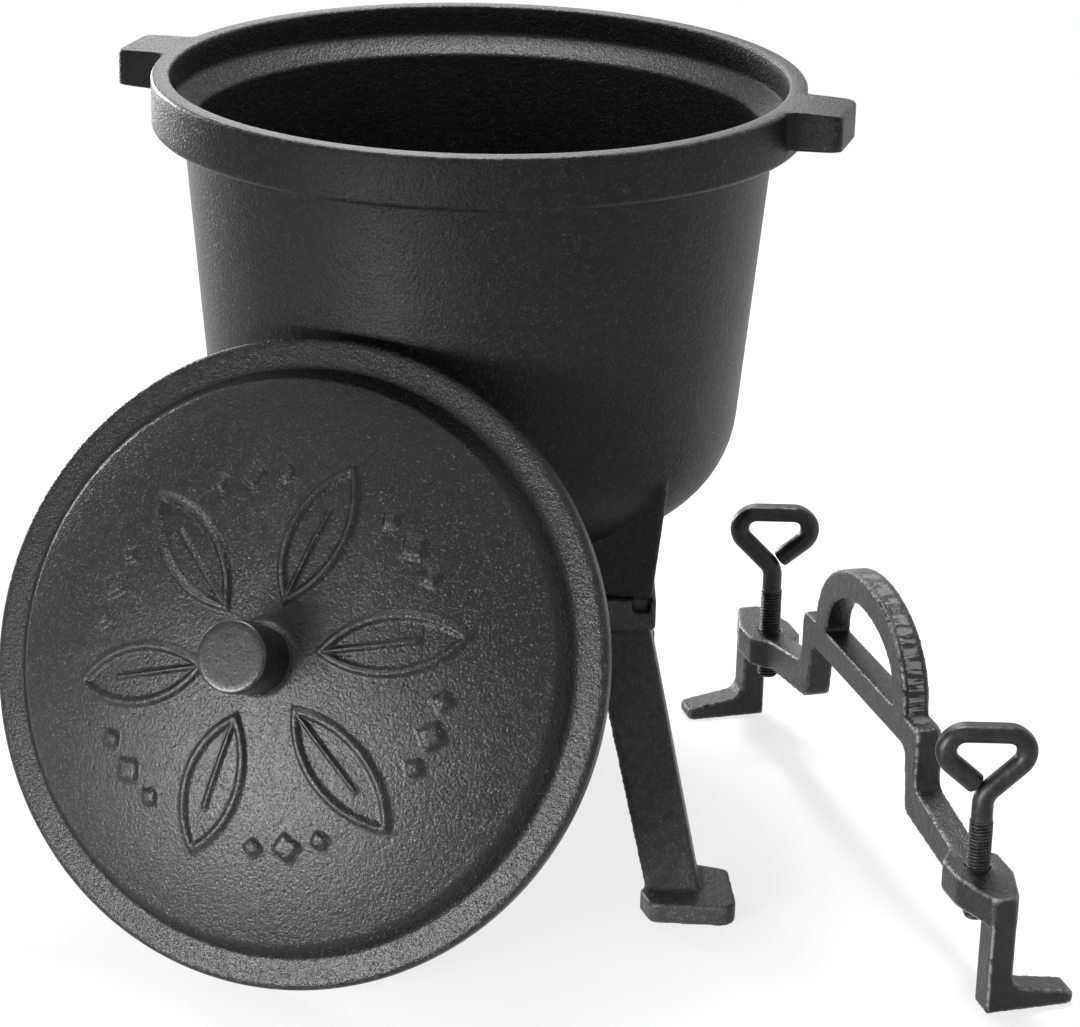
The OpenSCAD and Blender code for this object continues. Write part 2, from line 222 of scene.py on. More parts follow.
def shade_smooth(mesh: bpy.types.Mesh) -> None:
    """Let the light run smoothly over every face."""
    mesh.polygons.foreach_set("use_smooth", [True] * len(mesh.polygons))


def keep_mark(mesh: bpy.types.Mesh, mark: Mark, values: Sequence[float]) -> None:
    """Keep one number at each point of a mesh."""
    kept = mesh.attributes.new(mark.value, "FLOAT", "POINT")
    kept.data.foreach_set("value", np.asarray(values, np.float32))


def all_round(line: Sequence[Point], turns: np.ndarray) -> tuple[np.ndarray, np.ndarray]:
    """Radius and height of each point of an outline, repeated for every column.

    Args:
        line: Points of the outline, as radius and height.
        turns: Angle of each column.

    Returns:
        The radii and the heights, each as rows by columns.
    """
    grid = np.repeat(np.array(line)[:, :, None], len(turns), axis=2)
    return grid[:, 0], grid[:, 1]


def tube_faces(rows: int, cols: int) -> Faces:
    """Faces between rings of points that follow one another.

    Args:
        rows: Number of rings.
        cols: Number of points in each ring.

    Returns:
        The faces, each as the numbers of its points.
    """
    faces: Faces = []
    for row in range(rows - 1):
        for col in range(cols):
            here, beside = row * cols + col, row * cols + (col + 1) % cols
            faces.append((here, beside, beside + cols, here + cols))
    return faces


def lofted(rings: np.ndarray) -> Surface:
    """A closed solid through rings of points.

    Args:
        rings: The points, as rings by points by three coordinates.

    Returns:
        The solid, with a face at each end.
    """
    rows, cols = rings.shape[:2]
    first, last = tuple(range(cols)), tuple(range(rows * cols - 1, (rows - 1) * cols - 1, -1))
    return Surface(rings.reshape(-1, 3), [first, *tube_faces(rows, cols), last])


def turned(turns: np.ndarray, radii: np.ndarray, heights: np.ndarray) -> Surface:
    """A closed surface round the Z axis, from a first point on the axis to a last one.

    Args:
        turns: Angle of each column, in radians.
        radii: Radius of each point, as rows by columns. The first and last rows are on the axis.
        heights: Height of each point, in the same order.

    Returns:
        The surface, with one point at each end.
    """
    rows, cols = radii.shape
    inner = slice(1, rows - 1)
    x = radii[inner] * np.cos(turns)
    y = radii[inner] * np.sin(turns)
    ring = np.stack([x, y, heights[inner]], axis=2).reshape(-1, 3)
    ends = np.array([[0, 0, heights[0, 0]], [0, 0, heights[-1, 0]]])
    faces = tube_faces(rows - 2, cols)
    count, top = (rows - 2) * cols, (rows - 3) * cols
    for col in range(cols):
        beside = (col + 1) % cols
        faces += [(count, beside, col), (count + 1, top + col, top + beside)]
    return Surface(np.vstack([ring, ends]), faces)


def swept(middles: np.ndarray, across: np.ndarray, over: np.ndarray, rims: np.ndarray) -> Surface:
    """A closed rod along a line.

    Args:
        middles: Points of the line.
        across: Unit vector to the side at each point.
        over: The other unit vector across the line at each point.
        rims: For each point, the rim's points as pairs along across and over.

    Returns:
        The rod with a face at each end.
    """
    return lofted(middles[:, None] + across[:, None] * rims[..., :1] + over[:, None] * rims[..., 1:])


class Piece:
    """One shown object that rides on a body of the frame."""

    def __init__(self, name: str, mesh: bpy.types.Mesh) -> None:
        """Put the mesh into the scene as an object at the origin.

        Args:
            name: Name of the piece.
            mesh: Its mesh, in place.
        """
        self.thing = bpy.data.objects.new(name, mesh)
        bpy.context.scene.collection.objects.link(self.thing)

    def changed(self, modifiers: Sequence[Modifier]) -> "Piece":
        """Run modifiers and keep their result as the mesh.

        Args:
            modifiers: Type of each modifier and its values, in order.

        Returns:
            This piece.
        """
        for kind, values in modifiers:
            modifier = self.thing.modifiers.new(kind.lower(), kind)
            for key, value in values.items():
                setattr(modifier, key, value)
        graph = bpy.context.evaluated_depsgraph_get()
        made = bpy.data.meshes.new_from_object(self.thing.evaluated_get(graph))
        self.thing.modifiers.clear()
        self.thing.data = made
        shade_smooth(made)
        return self

    def removed(self) -> None:
        """Take a tool piece out of the scene."""
        bpy.data.objects.remove(self.thing)

    def edges_marked(self, reach: float = 1.6) -> "Piece":
        """Keep how sharply the surface turns at each point.

        Args:
            reach: Radius of an edge, in millimetres, that counts as fully exposed.

        Returns:
            This piece.
        """
        mesh = self.thing.data
        count = len(mesh.vertices)
        places = np.zeros(count * 3)
        mesh.vertices.foreach_get("co", places)
        places = places.reshape(-1, 3) / MM
        normals = np.zeros(count * 3)
        mesh.vertices.foreach_get("normal", normals)
        normals = normals.reshape(-1, 3)
        pairs = np.zeros(len(mesh.edges) * 2, int)
        mesh.edges.foreach_get("vertices", pairs)
        a, b = pairs.reshape(-1, 2).T
        gap = places[b] - places[a]
        length = np.maximum((gap * gap).sum(1), 1e-4)
        bow_a = -2 * (gap * normals[a]).sum(1) / length
        bow_b = 2 * (gap * normals[b]).sum(1) / length
        total = np.bincount(a, bow_a, count) + np.bincount(b, bow_b, count)
        shares = np.maximum(np.bincount(a, minlength=count) + np.bincount(b, minlength=count), 1)
        bow = total / shares
        for _ in range(2):
            spread = np.bincount(a, bow[b], count) + np.bincount(b, bow[a], count)
            bow = (bow + spread) / (1 + shares)
        keep_mark(mesh, Mark.WORN, np.clip(0.5 + bow * reach * 0.5, 0, 1))
        return self

    def finished(self, material: bpy.types.Material, slot: str, body: str, *nodes: str) -> bpy.types.Object:
        """Dress the piece and tie it to the frame.

        Args:
            material: Its finish.
            slot: Material slot of the record that the finish stands for; not used.
            body: Body that the piece rides on.
            nodes: CAD nodes that the piece stands for.

        Returns:
            The object.
        """
        self.thing.data.materials.clear()
        self.thing.data.materials.append(material)
        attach(self.thing, body)
        if nodes:
            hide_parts(*nodes)
        LOG.info("%s: %d points, %d faces", self.thing.name, len(self.thing.data.vertices),
                 len(self.thing.data.polygons))
        return self.thing


def softening(voxel: float, rounds: int) -> list[Modifier]:
    """Modifiers that round off the edges of a solid: even cells, then smoothing."""
    return [("REMESH", {"mode": "VOXEL", "voxel_size": voxel * MM}),
            ("SMOOTH", {"factor": 0.5, "iterations": rounds})]


def cutting(tool: Piece) -> Modifier:
    """Modifier that takes the space of another piece away."""
    return "BOOLEAN", {"operation": "DIFFERENCE", "object": tool.thing, "solver": "EXACT"}


def node_copy(node: str, name: str) -> Piece:
    """A copy of a CAD node's mesh with its doubled points merged.

    Args:
        node: Name of the CAD node.
        name: Name of the new piece.

    Returns:
        The copy.
    """
    mesh = frame["nodes"][node].data.copy()
    mesh.name = name
    edit = bmesh.new()
    edit.from_mesh(mesh)
    bmesh.ops.remove_doubles(edit, verts=edit.verts, dist=0.01 * MM)
    edit.to_mesh(mesh)
    edit.free()
    return Piece(name, mesh)


# Finishes

class Wire:
    """One output of a shader node, with arithmetic."""

    def __init__(self, recipe: "Recipe", socket: bpy.types.NodeSocket) -> None:
        """Keep the recipe and the socket."""
        self.recipe = recipe
        self.socket = socket

    def maths(self, operation: str, *others: Union["Wire", Number], clamp: bool = False) -> "Wire":
        """This wire after one Math node.

        Args:
            operation: Blender's name of the operation.
            others: The node's other values.
            clamp: Whether the result stays from 0 to 1.

        Returns:
            The result.
        """
        values = {0: self, **{i + 1: other for i, other in enumerate(others)}}
        return self.recipe.node("ShaderNodeMath", {"operation": operation, "use_clamp": clamp}, values)

    def __add__(self, other: Union["Wire", Number]) -> "Wire":
        """Sum."""
        return self.maths("ADD", other)

    __radd__ = __add__

    def __mul__(self, other: Union["Wire", Number]) -> "Wire":
        """Product."""
        return self.maths("MULTIPLY", other)

    __rmul__ = __mul__

    def __sub__(self, other: Union["Wire", Number]) -> "Wire":
        """Difference."""
        return self.maths("SUBTRACT", other)

    def __rsub__(self, other: Number) -> "Wire":
        """A number less this wire."""
        return self.maths("MULTIPLY", -1.0) + other

    def ramp(self, low: Number, high: Number) -> "Wire":
        """A smooth rise from 0 at low to 1 at high."""
        values = {"Value": self, "From Min": low, "From Max": high}
        return self.recipe.node("ShaderNodeMapRange", {"interpolation_type": "SMOOTHSTEP"}, values)


class Recipe:
    """The node tree of one material or of the world."""

    def __init__(self, owner: Owner) -> None:
        """Empty the tree and give it its output node.

        Args:
            owner: The new material or world.
        """
        owner.use_nodes = True
        self.owner = owner
        self.tree = owner.node_tree
        self.tree.nodes.clear()
        kind = "Material" if isinstance(owner, bpy.types.Material) else "World"
        self.output = self.tree.nodes.new(f"ShaderNodeOutput{kind}")

    def node(self, kind: str, settings: Optional[dict[str, object]] = None,
             values: Optional[dict[Union[int, str], object]] = None, out: Union[int, str] = 0) -> Wire:
        """Add one node.

        Args:
            kind: Blender's type name of the node.
            settings: Properties of the node, set first.
            values: Inputs by name or number, as numbers, colours or wires.
            out: Name or number of the output that is handed back.

        Returns:
            The output as a wire.
        """
        made = self.tree.nodes.new(kind)
        for key, value in (settings or {}).items():
            setattr(made, key, value)
        for key, value in (values or {}).items():
            if isinstance(value, Wire):
                self.tree.links.new(value.socket, made.inputs[key])
            else:
                made.inputs[key].default_value = value
        return Wire(self, made.outputs[out])

    def places(self, stretch: Corner = (1, 1, 1)) -> Wire:
        """The point on the surface, in the frame, stretched along each axis."""
        where = self.node("ShaderNodeTexCoord", out="Object")
        return self.node("ShaderNodeVectorMath", {"operation": "MULTIPLY"}, {0: where, 1: stretch})

    def noise(self, where: Wire, scale: float, detail: float = 2.0, rough: float = 0.5) -> Wire:
        """Cloudy noise from 0 to 1.

        Args:
            where: The point that it is read at.
            scale: Its clouds per metre.
            detail: Number of finer layers.
            rough: How strong the finer layers are.

        Returns:
            The noise.
        """
        values = {"Vector": where, "Scale": scale, "Detail": detail, "Roughness": rough}
        return self.node("ShaderNodeTexNoise", None, values)

    def cells(self, where: Wire, scale: float) -> Wire:
        """Distance to the nearest of many scattered points."""
        return self.node("ShaderNodeTexVoronoi", None, {"Vector": where, "Scale": scale})

    def mark(self, mark: Mark) -> Wire:
        """What the mesh keeps at its points under a mark."""
        return self.node("ShaderNodeAttribute", {"attribute_name": mark.value}, None, "Fac")

    def mixed(self, amount: Wire, first: Union[Wire, Colour], second: Union[Wire, Colour]) -> Wire:
        """A colour between two colours.

        Args:
            amount: Share of the second colour, from 0 to 1.
            first: The first colour, as a wire or as red, green and blue.
            second: The second colour, in the same way.

        Returns:
            The mixed colour.
        """
        low, high = (colour if isinstance(colour, Wire) else (*colour, 1.0) for colour in (first, second))
        # Inputs 6 and 7 and output 2 are the Mix node's colours.
        return self.node("ShaderNodeMix", {"data_type": "RGBA"}, {0: amount, 6: low, 7: high}, 2)

    def bump(self, height: Wire, distance: float) -> Wire:
        """The normal of a height of up to a distance in metres."""
        return self.node("ShaderNodeBump", None, {"Height": height, "Distance": distance})

    def looking(self) -> Wire:
        """1 where the camera, a gloss or glass looks, and 0 for light that falls on things.

        Returns:
            The mask.
        """
        camera = self.node("ShaderNodeLightPath", out="Is Camera Ray")
        glossy = self.node("ShaderNodeLightPath", out="Is Glossy Ray")
        through = self.node("ShaderNodeLightPath", out="Is Transmission Ray")
        return (camera + glossy).maths("ADD", through, clamp=True)

    def surfaced(self, shader: Wire) -> Owner:
        """Send a shader to the output and hand the owner back."""
        self.tree.links.new(shader.socket, self.output.inputs["Surface"])
        return self.owner

    def coated(self, values: dict[Union[int, str], object]) -> Owner:
        """Finish with one Principled shader and hand the owner back."""
        return self.surfaced(self.node("ShaderNodeBsdfPrincipled", None, values))


@dataclass(frozen=True)
class CastIron:
    """Rough black cast iron: orange peel skin, specks painted bright as glints, painted shade in creases;
    peel is the skin's depth in metres.
    """

    name: str
    dark: Colour = (0.003, 0.003, 0.0033)
    light: Colour = (0.01, 0.01, 0.0104)
    # Painted highlight: colour of the small bright specks that stand in for glints of light.
    painted_glint: Colour = (0.06, 0.06, 0.061)
    rubbed: Colour = (0.075, 0.075, 0.077)
    # Painted shade: the near black laid into creases and hollows.
    hollow: Colour = (0.003, 0.003, 0.0032)
    rough: float = 0.4
    gloss: float = 0.16
    peel: float = 0.0003
    # Painted highlight: how strongly the bright specks show.
    painted_glint_share: float = 0.45
    worn_amount: float = 0.6

    def made(self) -> bpy.types.Material:
        """The finish as a material.

        Returns:
            The material.
        """
        recipe = Recipe(bpy.data.materials.new(self.name))
        where = recipe.places()
        clouds = recipe.noise(where, 14.0, 3.0)
        mottle = recipe.noise(where, 260.0, 4.0, 0.65)
        skin = recipe.noise(where, 620.0, 3.0, 0.55)
        grit = recipe.noise(where, 1500.0, 2.0, 0.6)
        # Painted highlight: bright specks in the colour stand in for glints; the same spots are also
        # smoother and raised.
        painted_glint_spots = recipe.noise(where, 1050.0, 1.0, 0.5).ramp(0.56, 0.72) * mottle.ramp(0.35, 0.6)
        pits = recipe.cells(where, 330.0).ramp(0.05, 0.34)
        worn = recipe.mark(Mark.WORN)
        coarse = 1 - recipe.mark(Mark.SMOOTH) * 0.85
        edge = worn.ramp(0.58, 0.86) * mottle.ramp(0.36, 0.62)
        # Painted shade: creases and hollows, where the surface bends inward, are darkened.
        painted_crease_shade = 1 - worn.ramp(0.22, 0.47)
        tone = (mottle * 0.55 + grit * 0.3 + clouds * 0.4).ramp(0.42, 0.92)
        base = recipe.mixed(tone, self.dark, self.light)
        base = recipe.mixed(painted_glint_spots * coarse * self.painted_glint_share, base, self.painted_glint)
        base = recipe.mixed(edge * self.worn_amount, base, self.rubbed)
        base = recipe.mixed(painted_crease_shade * 0.7, base, self.hollow)
        rough = (clouds - 0.5) * 0.16 + (grit - 0.5) * 0.34 + self.rough - edge * 0.08 - painted_glint_spots * 0.1
        height = (skin + grit * 0.6 + pits * 0.35 + mottle * 0.4 + painted_glint_spots * 0.5) * coarse
        return recipe.coated({
            "Base Color": base, "Roughness": rough.maths("MAXIMUM", 0.2),
            "Specular IOR Level": self.gloss, "Normal": recipe.bump(height, self.peel)})


@dataclass(frozen=True)
class ForgedSteel:
    """Black coated steel bar, rubbed bright along its edges and filed on the grip."""

    name: str
    dark: Colour = (0.004, 0.004, 0.0042)
    light: Colour = (0.011, 0.011, 0.0114)
    rubbed: Colour = (0.17, 0.17, 0.172)
    bright: Colour = (0.16, 0.16, 0.162)
    gloss: float = 0.3
    skin: float = 0.0004

    def made(self) -> bpy.types.Material:
        """The finish as a material.

        Returns:
            The material.
        """
        recipe = Recipe(bpy.data.materials.new(self.name))
        where = recipe.places()
        clouds = recipe.noise(where, 30.0, 3.0)
        scale = recipe.noise(where, 330.0, 4.0, 0.6)
        grit = recipe.noise(where, 1300.0, 2.0)
        worn = recipe.mark(Mark.WORN)
        filed = recipe.mark(Mark.FILED)
        dimples = recipe.cells(where, 120.0).ramp(0.05, 0.6)
        strokes = recipe.noise(recipe.places((0.4, 0.4, 3.0)), 240.0, 2.0, 0.5).ramp(0.46, 0.56)
        edge = worn.ramp(0.56, 0.8) * scale.ramp(0.34, 0.56)
        base = recipe.mixed((scale * 0.6 + clouds * 0.5).ramp(0.4, 0.75), self.dark, self.light)
        base = recipe.mixed(edge * 0.85, base, self.rubbed)
        base = recipe.mixed(filed * strokes * 0.8, base, self.bright)
        rough = (scale - 0.5) * 0.3 + (grit - 0.5) * 0.25 + 0.32 - edge * 0.08
        height = scale + grit * 0.8 + dimples * 0.3 + filed * strokes * 0.8
        return recipe.coated({
            "Base Color": base, "Roughness": rough.maths("MAXIMUM", 0.2),
            "Specular IOR Level": self.gloss, "Normal": recipe.bump(height, self.skin)})


@dataclass(frozen=True)
class BlackRod:
    """Blackened round steel, a little glossy and scuffed."""

    name: str
    dark: Colour = (0.005, 0.005, 0.0055)
    light: Colour = (0.016, 0.016, 0.017)
    rubbed: Colour = (0.07, 0.07, 0.072)
    gloss: float = 0.28
    skin: float = 0.00022

    def made(self) -> bpy.types.Material:
        """The finish as a material.

        Returns:
            The material.
        """
        recipe = Recipe(bpy.data.materials.new(self.name))
        where = recipe.places()
        skin = recipe.noise(where, 380.0, 3.0, 0.6)
        grit = recipe.noise(where, 1600.0, 2.0)
        dents = recipe.cells(where, 160.0).ramp(0.1, 0.5)
        worn = recipe.mark(Mark.WORN)
        edge = worn.ramp(0.72, 0.95) * skin.ramp(0.4, 0.6)
        base = recipe.mixed(skin.ramp(0.35, 0.7), self.dark, self.light)
        base = recipe.mixed(edge * 0.5, base, self.rubbed)
        rough = (skin - 0.5) * 0.25 + (grit - 0.5) * 0.15 + 0.4
        height = skin * 0.7 + grit * 0.25 + dents * 0.8
        return recipe.coated({
            "Base Color": base, "Roughness": rough.maths("MAXIMUM", 0.18),
            "Specular IOR Level": self.gloss, "Normal": recipe.bump(height, self.skin)})


# The pot

@dataclass
class PotCasting:
    """The pot: wall, raised band, lid recess, two lugs and three stubs."""

    rim_r: float = 142.5
    rim_w: float = 8.0
    band_h: float = 22.5
    band_proud: float = 13.5
    body_h: float = 201.0
    under_h: float = 131.0
    wall_slope: float = 5.0
    wall_t: float = 4.5
    knee_r: float = 50.0
    crown_h: float = 5.0
    seat_depth: float = 12.5
    ledge_drop: float = 8.5
    lug_w: float = 34.0
    lug_out: float = 21.5
    lug_h: float = 16.5
    lug_root: float = 8.0
    lug_turn: float = -16.0
    lug_corner: float = 4.0
    lug_soft: float = 1.4  # finely divided height above and below the lug's underside
    lug_droop: float = 0.5
    # Radii of the bends in the section, from the band's root inward over the rim.
    band_root: float = 5.0
    band_edge: float = 2.6
    rim_outer: float = 1.6
    rim_inner: float = 1.3
    seat_soft: float = 3.0
    ledge_soft: float = 2.6
    joint_h: float = 119.0
    stub_r: float = 112.0
    leg_face: float = 24.0
    leg_turn: float = -44.5
    stub_lean: float = 7.5
    stub_spread: float = 30.0
    stub_up: float = 62.0
    stub_out: float = 20.0
    stub_wide: float = 0.6  # share of its height at which the stub is widest
    stub_blunt: float = 0.9  # how far the nose steps in for each millimetre up
    stub_back: float = 6.0
    stub_cut_z: float = 30.0
    stub_cut: float = 0.6  # how far the back steps in for each millimetre above stub_cut_z
    stub_voxel: float = 1.0
    stub_soft: int = 14
    patch_turn: float = 22.0  # degrees of wall to each side of a stub
    patch_from: float = 60.0
    patch_top: float = 205.0
    patch_in: float = 0.35  # depth of the patch under the wall's face
    patch_t: float = 3.6
    trim_top: float = 230.0
    trim_in: float = 0.8  # how far the trimming space reaches into the wall

    def __post_init__(self) -> None:
        """Work out the heights and radii that follow from the sizes."""
        self.top_z = self.under_h + self.body_h
        self.seat_r = self.rim_r - self.rim_w
        self.band_z = self.top_z - self.band_h
        self.slope = math.radians(self.wall_slope)
        self.knee_z = self.under_h + self.crown_h + self.knee_r
        self.knee_top = self.knee_z - self.knee_r * math.sin(self.slope)
        self.knee_x = self.wall_r(self.knee_top) - self.knee_r * math.cos(self.slope)
        seat = next(m for m in frame["record"]["mounts"] if m["name"] == "lid_seat")["pos_m"]
        self.place = Matrix.Translation((seat[0] / MM, seat[1] / MM, 0))
        self.flank = self.leg_face * math.cos(math.radians(45))

    def wall_r(self, z: float) -> float:
        """Outer radius of the sloping wall at a height."""
        return self.rim_r - self.band_proud - (self.band_z - z) * math.tan(self.slope)

    def bowl(self, inset: float, steps: int) -> list[Point]:
        """Bottom and knee, from the axis to the wall, a distance inside the outer face.

        Args:
            inset: The distance.
            steps: Number of points along the bottom.

        Returns:
            The points, as radius and height.
        """
        bottom = [(self.knee_x * t, self.under_h + inset + self.crown_h * (1 - math.cos(math.pi * t)) / 2)
                  for t in np.linspace(0, 1, steps)]
        middle = (self.knee_x, self.knee_z)
        return bottom + arc(middle, self.knee_r - inset, -90, -self.wall_slope, steps + 4)[1:]

    def section(self) -> list[Point]:
        """The pot's section, from the middle of the underside round to the middle inside.

        Returns:
            The points, as radius and height.
        """
        top, band, lug_z = self.top_z, self.band_z, self.top_z - self.lug_h
        seat_z = top - self.seat_depth
        ledge_z = seat_z - self.ledge_drop
        ledge_r = self.wall_r(ledge_z) - self.wall_t
        outer, inner = self.bowl(0, 12), self.bowl(self.wall_t, 9)
        skirt = soft_line([
            (*outer[-1], 0), (self.wall_r(band), band, self.band_root),
            (self.rim_r, band, self.band_edge), (self.rim_r, lug_z - self.lug_soft, 0)], 6.0, 0.8)
        shelf = [(self.rim_r, lug_z + z) for z in np.linspace(-self.lug_soft, self.lug_soft, 9)[1:]]
        crest = soft_line([
            (*shelf[-1], 0), (self.rim_r, top, self.rim_outer), (self.seat_r, top, self.rim_inner),
            (self.seat_r - 0.4, seat_z - 1.0, self.seat_soft), (ledge_r, ledge_z, self.ledge_soft),
            (*inner[-1], 0)], 4.0, 0.6)
        return outer[:-1] + skirt + shelf + crest[1:] + inner[-2::-1]

    def lug_half(self) -> list[Point]:
        """One half of a lug's outline, from the middle of its tip to where it leaves the rim.

        Returns:
            The points, seen from above, with the lug along X.
        """
        half, root = self.lug_w / 2, self.lug_root
        root_x = math.sqrt(self.rim_r ** 2 - (half + root) ** 2) - 0.7
        tip = self.rim_r + self.lug_out
        line = soft_line([
            (tip, 0, 0), (tip, half - 0.5, self.lug_corner), (root_x, half, root * 0.9),
            (root_x, half + root + 2, 0)], 2.2, 0.7)
        return [p for p in line if math.hypot(*p) > self.rim_r + 0.02]

    def columns(self) -> tuple[np.ndarray, np.ndarray]:
        """Angles of the pot's columns, and how far the lugs stand out at each.

        Returns:
            The angles in radians, and the extra radius in millimetres.
        """
        half = self.lug_half()
        angles = np.array([math.atan2(y, x) for x, y in half])
        reach = np.array([math.hypot(x, y) for x, y in half]) - self.rim_r
        edge = angles[-1] + math.radians(0.25)
        plain = np.linspace(edge, math.pi - edge, 142)
        side_angles = np.concatenate([-angles[:0:-1], angles, plain])
        side_reach = np.concatenate([reach[:0:-1], reach, np.zeros(len(plain))])
        turns = np.concatenate([side_angles, side_angles + math.pi]) + math.radians(self.lug_turn)
        return turns, np.tile(side_reach, 2)

    def body(self) -> Surface:
        """The turned body with its lugs drawn out of the band.

        Returns:
            The body, on its own axis.
        """
        line = self.section()
        turns, reach = self.columns()
        radii, heights = all_round(line, turns)
        r, z = np.array(line).T
        shelf = self.top_z - self.lug_h
        lift = smooth_step(z, shelf - 1.3, shelf + 1.1)
        inner, outer = self.seat_r + 1.6, self.rim_r - 1.8
        across = np.clip((r - inner) / (outer - inner), 0, 1)
        outside = np.where(r > self.seat_r, lift * across, 0)[:, None]
        radii += outside * reach
        heights -= outside * (reach / self.lug_out) ** 2 * self.lug_droop
        return turned(turns, radii, heights)

    def hollow(self) -> Surface:
        """The space inside the pot, a little into its wall, to trim the stubs with.

        Returns:
            The space as a solid.
        """
        line = self.bowl(self.wall_t - self.trim_in, 10)
        line += [(self.wall_r(self.trim_top) - self.wall_t + self.trim_in, self.trim_top),
                 (0.0, self.trim_top)]
        turns = circle(120)
        return turned(turns, *all_round(line, turns))

    def stub_solid(self) -> Surface:
        """One stub on the X axis: it leans out and widens, and its nose is blunted at the top.

        Returns:
            The stub as a solid with sharp corners.
        """
        top, flank = self.stub_up, self.flank
        lean = math.tan(math.radians(self.stub_lean))
        wide_z, blunt_z = top * self.stub_wide, top * 0.85 - 10
        rings = []
        for z in (0, 12, 24, wide_z, 50, top):
            spread = flank + (self.stub_spread - flank) * min(1.0, z / wide_z)
            ridge = self.stub_r + z * lean
            back = self.stub_r - flank - self.stub_back + min(0, self.stub_cut_z - z) * self.stub_cut
            blunt = max(0.0, z - blunt_z) * self.stub_blunt
            nose = min(ridge, self.stub_r + self.stub_out - blunt)
            flat = max(1.0, ridge - nose)
            half = [(back, spread), (ridge - spread, spread), (nose, flat)]
            ring = [(back, -spread), *half, (nose, -flat), (ridge - spread, -spread)]
            rings.append([(x, y, self.joint_h + z) for x, y in ring])
        return lofted(np.array(rings, float))

    def wall_patch(self) -> Surface:
        """The part of the wall behind a stub, kept just under the pot's own face.

        Returns:
            The patch as a solid.
        """
        top, skin = self.patch_top, self.patch_in
        outer = [(r - skin, z + 0.2) for r, z in self.bowl(0, 12) if r > self.patch_from]
        outer.append((self.wall_r(top) - skin, top))
        inner = [(r, z) for r, z in self.bowl(self.patch_t, 12) if r > self.patch_from]
        inner.append((self.wall_r(top) - self.patch_t, top))
        loop = outer + inner[::-1]
        turns = np.radians(np.linspace(-self.patch_turn, self.patch_turn, 45))
        return lofted(np.array([[(r * math.cos(t), r * math.sin(t), z) for r, z in loop] for t in turns]))

    def build(self, iron: bpy.types.Material) -> None:
        """Make the pot's pieces.

        Args:
            iron: Finish of the pot.
        """
        casting = self.body().moved(self.place).piece("pot_casting")
        casting.edges_marked().finished(iron, "pot_iron", "oven", "pot")
        trim = self.hollow().moved(self.place).piece("trim")
        for foot in Foot:
            spin = Matrix.Rotation(math.radians(self.leg_turn + foot.value), 4, "Z")
            solid = self.stub_solid().joined(self.wall_patch()).moved(self.place @ spin)
            stub = solid.piece(f"pot_stub_{foot.name.lower()}")
            stub.changed([*softening(self.stub_voxel, self.stub_soft), cutting(trim)])
            stub.edges_marked().finished(iron, "pot_iron", "oven", "pot")
        trim.removed()


@dataclass
class Legs:
    """The three cast legs, taken from the solids with softened edges."""

    voxel: float = 0.8
    soft: int = 7

    def build(self, iron: bpy.types.Material) -> None:
        """Make the legs.

        Args:
            iron: Finish of the legs.
        """
        for foot in Foot:
            node = f"leg_{foot.name.lower()}"
            leg = node_copy(node, f"{node}_casting").changed(softening(self.voxel, self.soft))
            leg.edges_marked().finished(iron, "leg_iron", "oven", node)


# The lid

